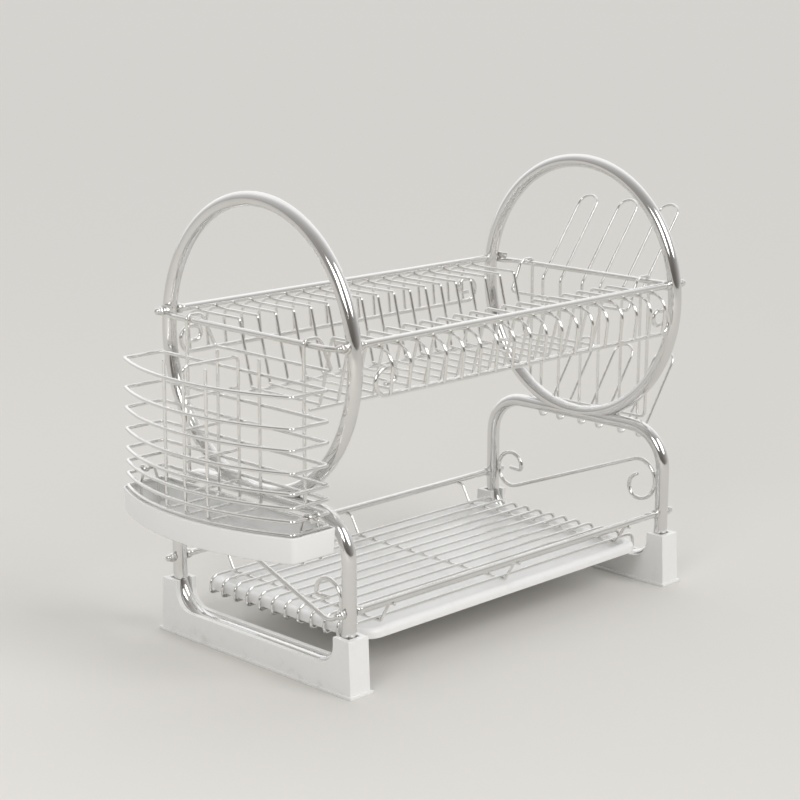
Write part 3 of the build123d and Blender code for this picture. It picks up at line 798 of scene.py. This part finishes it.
def brace_half(radii, turns, tip):
    """One half of a brace in its loop's plane, from its middle out to the end of its curl."""
    reach = post_y - tube_radius - weld_gap - brace_diameter / 2
    slope = math.radians(brace_slope)
    run = (reach - radii[0] * (1 + math.sin(slope))) / math.cos(slope)
    moves = [(run,), (radii[0], brace_slope + turns[0])]
    moves += list(zip(radii[1:], turns[1:])) + [(tip,)]
    return curled((0, 0), -brace_slope, moves)[1:]


def scroll_brace(side, name):
    """Every curl ends in a tight hook, but for the right brace's front one, which stays open."""
    mesh = bmesh.new()
    hooked = brace_half(brace_curl_radii, brace_curl_turns, brace_tip)
    opened = brace_half(open_curl_radii, open_curl_turns, open_curl_tip)
    raised = opened if side > 0 else hooked
    line = [(-y, -z) for y, z in reversed(raised)] + hooked
    points = [(side * end_plane_x, side * y, z + brace_centre_z) for y, z in line]
    add_wire(mesh, points, brace_diameter, rod_sides)
    finish_piece(mesh, name + "_scroll_rod", name + "_scroll_brace")


def straight_rod(half_length, y, z, diameter, sides, ending, name):
    mesh = bmesh.new()
    add_wire(mesh, [(-half_length, y, z), (half_length, y, z)], diameter, sides)
    finish_piece(mesh, name + ending, name)


def at_four_corners(mesh, x, y, z):
    """Copies a fastener drawn along Z to both ends of the front and the back rail."""
    whole = everything(mesh)
    for side in (-1, 1):
        for end_y in (-y, y):
            copy = bmesh.ops.duplicate(mesh, geom=whole)["geom"]
            turn = Matrix.Rotation(side * math.pi / 2, 4, "Y")
            place = Matrix.Translation(at_metres(side * x, end_y, z)) @ turn
            bmesh.ops.transform(mesh, matrix=place, verts=picked(copy, bmesh.types.BMVert))
    bmesh.ops.delete(mesh, geom=picked(whole, bmesh.types.BMVert), context="VERTS")


def cap_nuts(base_x, y, z, name):
    """Four hexagon nuts, each with a closed dome on a short neck."""
    mesh = bmesh.new()
    radius = nut_across_flats / 2 / math.cos(math.pi / 6) * unit
    bmesh.ops.create_circle(mesh, cap_ends=True, segments=6, radius=radius)
    extrude_by(mesh, mesh.faces[:], z=nut_hex_length)
    round_edges(mesh, mesh.edges[:], nut_edge_round * unit)
    dome = bmesh.new()
    bmesh.ops.create_uvsphere(dome, u_segments=nut_sides, v_segments=nut_sides // 2,
                              radius=nut_dome_diameter / 2 * unit)
    bmesh.ops.bisect_plane(dome, geom=everything(dome), plane_co=(0, 0, 0),
                           plane_no=(0, 0, 1), clear_inner=True)
    rim = [edge for edge in dome.edges if edge.is_boundary]
    grown = bmesh.ops.extrude_edge_only(dome, edges=rim)["geom"]
    bmesh.ops.translate(dome, vec=(0, 0, -(nut_dome_neck + nut_edge_round) * unit),
                        verts=picked(grown, bmesh.types.BMVert))
    rim = [edge for edge in dome.edges if edge.is_boundary]
    bmesh.ops.contextual_create(dome, geom=rim)
    bmesh.ops.translate(dome, vec=(0, 0, (nut_hex_length + nut_dome_neck) * unit),
                        verts=dome.verts[:])
    joined = bpy.data.meshes.new(name + "_dome")
    dome.to_mesh(joined)
    dome.free()
    mesh.from_mesh(joined)
    bpy.data.meshes.remove(joined)
    at_four_corners(mesh, base_x, y, z)
    finish_piece(mesh, name + "_domed", name, fastener_chrome)


def collars(y, z, name):
    mesh = bmesh.new()
    bmesh.ops.create_circle(mesh, cap_ends=True, segments=nut_sides,
                            radius=collar_diameter / 2 * unit)
    extrude_by(mesh, mesh.faces[:], z=collar_length)
    ends = level_edges(mesh, 0) + level_edges(mesh, collar_length)
    round_edges(mesh, ends, collar_round * unit, corner_points // 2)
    at_four_corners(mesh, rail_half_length, y, z)
    finish_piece(mesh, name + "_rounded", name, fastener_chrome)


def side_rod(side, name):
    mesh = bmesh.new()
    half_width = tab_width / 2
    inner_y = rail_y_upper - tab_length
    outer_y = rail_y_upper + half_width
    outline = [(-inner_y, -half_width), (-outer_y, -half_width),
               (-outer_y, half_width), (-inner_y, half_width)]
    verts = [mesh.verts.new(at_metres(tab_x, y, rail_z_upper + z)) for y, z in outline]
    mesh.faces.new(verts)
    round_corners(mesh, verts[1:3], (half_width - 2 * merge_distance) * unit)
    extrude_by(mesh, mesh.faces[:], x=tab_thickness)
    round_edges(mesh, sharp(mesh.edges), tab_edge_round * unit)
    mirror_width(mesh)
    tab_middle_x = tab_x + tab_thickness / 2
    joggle_y = rail_y_upper - side_rod_joggle_inset
    points = both_sides([
        (tab_middle_x, -rail_y_upper + side_rod_end_inset, side_rod_z),
        (tab_middle_x, -joggle_y, side_rod_z),
        (side_rod_x, -joggle_y + side_rod_joggle_length, side_rod_z)])
    add_wire(mesh, rounded(points, [side_rod_bend_radius] * 4), side_rod_diameter, rod_sides)
    if side < 0:
        mirror_length(mesh)
    finish_piece(mesh, name + "_joggled", name)


def plate_wires():
    mesh = bmesh.new()
    half = [
        (0, -plate_foot_y, scroll_rod_z),
        (0, -plate_belly_y, plate_flat_z - plate_belly_radius),
        (0, -plate_belly_y, plate_flat_z),
        (0, -plate_shoulder_y, plate_flat_z),
        (0, -plate_trough_y, plate_trough_z)]
    radii = (0, plate_belly_radius, plate_shoulder_radius, plate_trough_radius)
    chain = rounded(both_sides(half), radii + radii[::-1])
    add_wire(mesh, chain, plate_wire_diameter)
    repeat(mesh, (plate_wire_pitch, 0, 0), plate_wire_count)
    finish_piece(mesh, "plate_rack_wires", "plate_wires")


def plate_scroll_rod(front, name):
    mesh = bmesh.new()
    moves = [(scroll_turn_x,), (scroll_outer_radius, scroll_turn), (scroll_flat,),
             (scroll_inner_radius, scroll_turn), (scroll_tip,)]
    half = curled((0, 0), 0, moves)[1:]
    line = [(-x, z) for x, z in reversed(half)] + half
    points = [(x, front * scroll_rod_y, z + scroll_rod_z) for x, z in line]
    add_wire(mesh, points, scroll_rod_diameter, rod_sides)
    finish_piece(mesh, name + "_curled", name)


def shelf_wires():
    mesh = bmesh.new()
    tip_x = shelf_end_x - shelf_hook_length
    corners = [
        (-tip_x, 0, shelf_hook_z),
        (-shelf_end_x, 0, shelf_hook_z),
        (-shelf_end_x, 0, shelf_z),
        (shelf_end_x, 0, shelf_z),
        (shelf_end_x, 0, shelf_hook_z),
        (tip_x, 0, shelf_hook_z)]
    radii = (shelf_hook_radius, shelf_bend_radius, shelf_bend_radius, shelf_hook_radius)
    add_wire(mesh, rounded(corners, radii), shelf_wire_diameter)
    repeat(mesh, (0, shelf_wire_pitch, 0), shelf_wire_count)
    finish_piece(mesh, "shelf_long_wires", "shelf_wires")


def shelf_hangers():
    mesh = bmesh.new()
    points = both_sides([
        (0, -rail_y_lower - shelf_hanger_overhang, shelf_hanger_high_z),
        (0, -rail_y_lower + shelf_hanger_rise_inset, shelf_hanger_high_z),
        (0, -rail_y_lower + shelf_hanger_bend_inset, shelf_hanger_low_z)])
    add_wire(mesh, rounded(points, [shelf_hanger_radius] * 4), shelf_hanger_diameter)
    repeat(mesh, (shelf_hanger_pitch, 0, 0), shelf_hanger_count)
    finish_piece(mesh, "shelf_cross_hangers", "shelf_hangers")


def sink_face(mesh, face, rim_width, depth, slope):
    """Sets a face in by the width of a rim, then down into a basin with sloping walls."""
    if rim_width:
        bmesh.ops.inset_region(mesh, faces=[face], thickness=rim_width * unit,
                               use_boundary=True, use_even_offset=True)
    bmesh.ops.inset_region(mesh, faces=[face], depth=-depth * unit, use_boundary=True,
                           thickness=depth * math.tan(math.radians(slope)) * unit,
                           use_even_offset=True)


def drip_tray():
    mesh = bmesh.new()
    corners = [(-drip_half_length, -drip_half_width), (drip_half_length, -drip_half_width),
               (drip_half_length, drip_half_width), (-drip_half_length, drip_half_width)]
    verts = [mesh.verts.new(at_metres(x, y, drip_rim_lip_z)) for x, y in corners]
    mesh.faces.new(verts)
    round_corners(mesh, verts, drip_corner_radius * unit)
    top = picked(extrude_by(mesh, mesh.faces[:], z=drip_rim_height), bmesh.types.BMFace)[0]
    under = [face for face in mesh.faces if lies_at(face, 2, drip_rim_lip_z * unit)]
    bmesh.ops.delete(mesh, geom=under, context="FACES_ONLY")
    sink_face(mesh, top, drip_rim_width + drip_wall, drip_depth - drip_wall, drip_taper)
    floor_z = drip_rim_top_z - drip_depth + drip_wall
    for z, width in ((drip_rim_top_z, drip_rim_round), (floor_z, drip_basin_round)):
        round_edges(mesh, sharp(level_edges(mesh, z)), width * unit, corner_points // 2)
    bmesh.ops.solidify(mesh, geom=mesh.faces[:], thickness=drip_wall * unit)
    piece = finish_piece(mesh, "drip_tray_moulded", "drip_tray", tray_plastic, "drip_tray")
    soften_edges(piece, tray_rim_round)


# Cutlery basket, drawn for the right end and turned over to the left

def bow_x(y, inset=0):
    return bow_centre_x + math.sqrt((bow_radius - inset) ** 2 - y ** 2)


def basket_loops():
    mesh = bmesh.new()
    width = basket_half_width
    corner_x = basket_back_x + basket_side_length
    bow = [(bow_x(y), y, 0) for y in
           (-width + 2 * width * i / bow_points for i in range(1, bow_points))]
    points = [(basket_back_x, 0, 0), (basket_back_x, -width, 0), (corner_x, -width, 0)]
    points += bow + [(corner_x, width, 0), (basket_back_x, width, 0), (basket_back_x, 0, 0)]
    corner = basket_corner_radius
    radii = [corner, corner] + [0] * len(bow) + [corner, corner]
    chain = rounded(points, radii)[:-1]
    for height in basket_loop_heights:
        add_wire(mesh, [point + Vector((0, 0, height)) for point in chain],
                 basket_loop_diameter, closed=True)
    mirror_length(mesh)
    finish_piece(mesh, "basket_bowed_loops", "basket_loops", body="cutlery_basket")


def upright_ends(y):
    inset = (basket_loop_diameter + basket_wire_diameter) / 2
    return basket_back_x + inset, bow_x(y, inset)


def basket_uprights():
    mesh = bmesh.new()
    back_x, front_x = upright_ends(basket_upright_y)
    low_z = basket_loop_heights[-1]
    for y in (-basket_upright_y, basket_upright_y):
        corners = [(back_x, y, basket_upright_top_z), (back_x, y, low_z),
                   (front_x, y, low_z), (front_x, y, basket_upright_top_z)]
        add_wire(mesh, rounded(corners, [basket_wire_bend_radius] * 2), basket_wire_diameter)
    mirror_length(mesh)
    finish_piece(mesh, "basket_upright_wires", "basket_uprights", body="cutlery_basket")


def basket_divider():
    mesh = bmesh.new()
    back_x, front_x = upright_ends(0)
    low_z = basket_loop_heights[-1]
    middle_x = (back_x + front_x) / 2
    corners = [(middle_x, 0, low_z), (front_x, 0, low_z), (front_x, 0, basket_divider_top_z),
               (back_x, 0, basket_divider_top_z), (back_x, 0, low_z), (middle_x, 0, low_z)]
    chain = rounded(corners, [basket_wire_bend_radius] * 4)
    add_wire(mesh, chain[:-1], basket_wire_diameter, closed=True)
    for i in range(basket_bar_count):
        z = basket_divider_top_z - (i + 1) * basket_bar_pitch
        add_wire(mesh, [(back_x, 0, z), (front_x, 0, z)], basket_wire_diameter)
    mirror_length(mesh)
    finish_piece(mesh, "basket_divider_ladder", "basket_divider", body="cutlery_basket")


def hanger_corners():
    """The arch over the side rod, from its outer leg to its inner corner."""
    top_z = side_rod_z + hook_radius
    return [(hanger_leg_x, hanger_y, top_z), (hanger_arch_x, hanger_y, top_z),
            (hanger_inner_x, hanger_y, hanger_inner_z)]


def basket_hanger():
    mesh = bmesh.new()
    foot_z = basket_loop_heights[clip_loop_index] - basket_loop_diameter / 2
    corners = both_sides([(hanger_leg_x, hanger_y, foot_z)] + hanger_corners())
    radii = [hook_radius, hanger_arch_radius, hanger_bend_radius]
    add_wire(mesh, rounded(corners, radii + radii[::-1]), hanger_diameter)
    mirror_length(mesh)
    finish_piece(mesh, "basket_hook_wire", "basket_hanger", body="cutlery_basket")


def cutlery_tray():
    mesh = bmesh.new()
    grow = basket_loop_diameter / 2 + tray_rim_clearance + tray_wall
    half_width = basket_half_width + grow
    reach = math.asin(half_width / (bow_radius + grow))
    first = mesh.verts.new(at_metres(bow_x(half_width, -grow), -half_width, tray_rim_z))
    bmesh.ops.spin(mesh, geom=[first], cent=at_metres(bow_centre_x, 0, tray_rim_z),
                   axis=(0, 0, 1), angle=2 * reach, steps=bow_points)
    ends = [vert for vert in mesh.verts if len(vert.link_edges) == 1]
    front, back = sorted(ends, key=lambda vert: vert.co.y)
    corners = [mesh.verts.new(at_metres(basket_back_x - grow, side * half_width, tray_rim_z))
               for side in (-1, 1)]
    chain = [front] + corners + [back]
    for pair in zip(chain, chain[1:]):
        mesh.edges.new(pair)
    floor = bmesh.ops.contextual_create(mesh, geom=mesh.edges[:])["faces"][0]
    if floor.normal.z < 0:
        floor.normal_flip()
    round_corners(mesh, [front, back] + corners, (tray_corner_radius + tray_wall) * unit)
    sink_face(mesh, mesh.faces[:][0], 0, tray_depth, tray_taper)
    round_edges(mesh, sharp(level_edges(mesh, tray_bottom_z)), tray_floor_round * unit)
    bmesh.ops.solidify(mesh, geom=mesh.faces[:], thickness=-tray_wall * unit)
    mirror_length(mesh)
    piece = finish_piece(mesh, "cutlery_tray_moulded", "cutlery_tray", tray_plastic,
                         "cutlery_tray")
    soften_edges(piece, tray_rim_round)


def tray_clips():
    mesh = bmesh.new()
    low_x = clip_leg_spacing / 2
    high_x = clip_top_spacing / 2
    loop_z = basket_loop_heights[clip_loop_index]
    hook = clip_hook_radius
    tip_z = tray_bottom_z - clip_tip_gap - clip_diameter / 2
    for side in (-1, 1):
        leg_y = side * (basket_half_width - hook)
        outer_y = side * (basket_half_width + hook)
        half = [
            (low_x, leg_y + side * clip_tip_length, tip_z),
            (low_x, leg_y, tip_z),
            (low_x, leg_y, tray_rim_z),
            (high_x, leg_y, loop_z + hook),
            (high_x, outer_y, loop_z + hook),
            (high_x, outer_y, loop_z - clip_hook_drop)]
        corners = half + [(-x, y, z) for x, y, z in reversed(half)]
        corners = [(x + clip_centre_x, y, z) for x, y, z in corners]
        radii = [clip_bend_radius, clip_bend_radius, hook, hook, clip_bend_radius]
        add_wire(mesh, rounded(corners, radii + radii[::-1]), clip_diameter)
    mirror_length(mesh)
    finish_piece(mesh, "tray_hook_clips", "tray_clips", body="cutlery_tray")


# Cup rack

def cup_loops():
    mesh = bmesh.new()
    half_space = cup_wire_spacing / 2
    half = [
        (cup_prong_tip_x, half_space, cup_lower_tip_z),
        (cup_wire_x, half_space, cup_lower_corner_z),
        (cup_wire_x, half_space, cup_upper_corner_z),
        (cup_prong_tip_x, half_space, cup_upper_tip_z)]
    apex = (cup_prong_tip_x, 0, cup_lower_tip_z)
    radii = [half_space - merge_distance, cup_lower_bend_radius, cup_upper_bend_radius,
             half_space - merge_distance]
    chain = rounded([apex] + both_sides(half) + [apex], radii + radii[::-1])
    add_wire(mesh, chain[:-1], cup_wire_diameter, closed=True)
    repeat(mesh, (0, cup_loop_pitch, 0), cup_loop_count)
    finish_piece(mesh, "cup_rack_loops", "cup_loops", body="cup_rack")


def cup_rack_hanger():
    mesh = bmesh.new()
    start = (hanger_leg_x, 0, cup_hanger_bottom_z)
    corner = (hanger_leg_x, hanger_y, cup_hanger_bottom_z)
    corners = [start] + both_sides([corner] + hanger_corners()) + [start]
    radii = [cup_hanger_corner_radius, hook_radius, hanger_arch_radius, hanger_bend_radius]
    chain = rounded(corners, radii + radii[::-1])
    add_wire(mesh, chain[:-1], hanger_diameter, closed=True)
    finish_piece(mesh, "cup_rack_hook_wire", "cup_rack_hanger", body="cup_rack")


for side, name in ((-1, "left"), (1, "right")):
    foot(side, name + "_foot")
    end_loop(side, name)
    end_ring(side, name)
    scroll_brace(side, name)
    side_rod(side, name + "_side_rod")
for y, z, diameter, name in (
        (-rail_y_upper, rail_z_upper, upper_rail_diameter, "upper_front_rail"),
        (rail_y_upper, rail_z_upper, upper_rail_diameter, "upper_back_rail"),
        (-rail_y_lower, rail_z_lower, lower_rail_diameter, "lower_front_rail"),
        (rail_y_lower, rail_z_lower, lower_rail_diameter, "lower_back_rail")):
    straight_rod(rail_half_length, y, z, diameter, rod_sides, "_rod", name)
collars(rail_y_upper, rail_z_upper, "upper_rail_collars")
collars(rail_y_lower, rail_z_lower, "lower_rail_collars")
cap_nuts(tab_x + tab_thickness + weld_gap, rail_y_upper, rail_z_upper, "upper_cap_nuts")
cap_nuts(tab_x, rail_y_lower, rail_z_lower, "lower_cap_nuts")
plate_wires()
plate_scroll_rod(-1, "plate_front_scroll_rod")
plate_scroll_rod(1, "plate_back_scroll_rod")
for y, name in ((-plate_trough_y, "plate_front_trough_rod"),
                (plate_trough_y, "plate_back_trough_rod")):
    straight_rod(trough_rod_half_length, y, trough_rod_z, trough_rod_diameter, wire_sides,
                 "_straight", name)
shelf_wires()
shelf_hangers()
drip_tray()
basket_loops()
basket_uprights()
basket_divider()
basket_hanger()
cutlery_tray()
tray_clips()
cup_loops()
cup_rack_hanger()

for name in ("upper_bolts", "lower_bolts"):
    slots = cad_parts[name].data.materials
    for i in range(len(slots)):
        slots[i] = fastener_chrome


# Floor, lights and camera

floor_half_size = 45.0
floor_color = (0.70, 0.685, 0.655, 1)
backdrop_color = (0.74, 0.73, 0.705, 1)
sky_strength = 1.18
floor_roughness = 0.8
floor_gloss = 0.1
bright_side = (0.62, 0.62, 0.48)
room_tones = ((0.05, (0.10, 0.09, 0.08, 1)), (0.50, (0.38, 0.37, 0.36, 1)),
              (0.72, (0.56, 0.56, 0.56, 1)), (0.93, (1.0, 1.0, 1.0, 1)))
sun_place = (0.5, -2.4, 1.9)
sun_aim = (0, 0, 0)
sun_strength = 1.15
sun_spread = 35.0
key_place = (-1.9, -0.9, 1.3)
key_aim = (0, 0, 0.2)
key_size = 0.9
key_power = 14.0


def add_floor():
    mesh = bmesh.new()
    bmesh.ops.create_grid(mesh, x_segments=1, y_segments=1, size=floor_half_size)
    data = bpy.data.meshes.new("studio_floor")
    mesh.to_mesh(data)
    mesh.free()
    material = bpy.data.materials.new("pale_floor")
    material.use_nodes = True
    shader = material.node_tree.nodes["Principled BSDF"]
    feed(material.node_tree, shader, {"Roughness": floor_roughness, "Base Color": floor_color,
                                      "Specular IOR Level": floor_gloss})
    data.materials.append(material)
    floor = bpy.data.objects.new("studio_floor", data)
    bpy.context.scene.collection.objects.link(floor)


def add_lamp(name, kind, place, aim, power):
    light = bpy.data.lights.new(name, kind)
    light.energy = power
    lamp = bpy.data.objects.new(name, light)
    lamp.location = place
    lamp.rotation_euler = (Vector(aim) - Vector(place)).to_track_quat("-Z", "Y").to_euler()
    bpy.context.scene.collection.objects.link(lamp)
    return light


def add_world():
    """A pale room, lightest overhead and beyond the rack, so that the plating shows its form.

    Seen straight on, it is as pale and even as the floor.
    """
    world = bpy.data.worlds.new("studio")
    bpy.context.scene.world = world
    world.use_nodes = True
    tree = world.node_tree
    background = tree.nodes["Background"]
    place = add_node(tree, "ShaderNodeTexCoord")
    along = add_node(tree, "ShaderNodeVectorMath", operation="DOT_PRODUCT")
    along.inputs[1].default_value = bright_side
    tree.links.new(place.outputs["Generated"], along.inputs[0])
    level = add_node(tree, "ShaderNodeMapRange")
    feed(tree, level, {"Value": along.outputs["Value"], "From Min": -1.0, "From Max": 1.0})
    ramp = add_node(tree, "ShaderNodeValToRGB")
    stops = ramp.color_ramp.elements
    stops[0].position, stops[0].color = room_tones[0]
    stops[1].position, stops[1].color = room_tones[-1]
    for position, color in room_tones[1:-1]:
        stops.new(position).color = color
    feed(tree, ramp, {"Fac": level.outputs["Result"]})
    feed(tree, background, {"Color": ramp.outputs["Color"], "Strength": sky_strength})
    backdrop = add_node(tree, "ShaderNodeBackground")
    feed(tree, backdrop, {"Color": backdrop_color})
    seen = add_node(tree, "ShaderNodeLightPath")
    room = add_node(tree, "ShaderNodeMixShader")
    for socket, source in zip(room.inputs, (seen.outputs["Is Camera Ray"],
                                            background.outputs["Background"],
                                            backdrop.outputs["Background"])):
        tree.links.new(source, socket)
    feed(tree, tree.nodes["World Output"], {"Surface": room.outputs["Shader"]})
    lay_out(tree)


def add_camera():
    data = bpy.data.cameras.new("photo_camera")
    data.sensor_width = sensor_width
    data.lens = focal_length_pixels * sensor_width / photo_pixels
    data.clip_end = camera_reach
    camera = bpy.data.objects.new("photo_camera", data)
    yaw, pitch = math.radians(camera_yaw), math.radians(camera_pitch)
    forward = Vector((math.sin(yaw) * math.cos(pitch), math.cos(yaw) * math.cos(pitch),
                      -math.sin(pitch)))
    place = Matrix.Translation(at_metres(*camera_place))
    turn = forward.to_track_quat("-Z", "Y").to_matrix().to_4x4()
    camera.matrix_world = place @ turn @ Matrix.Rotation(math.radians(camera_roll), 4, "Z")
    bpy.context.scene.collection.objects.link(camera)
    bpy.context.scene.camera = camera


add_floor()
add_world()
sun = add_lamp("soft_sun", "SUN", sun_place, sun_aim, sun_strength)
sun.angle = math.radians(sun_spread)
key = add_lamp("key_lamp", "AREA", key_place, key_aim, key_power)
key.size = key_size
add_camera()
bpy.context.scene.view_settings.view_transform = "Standard"
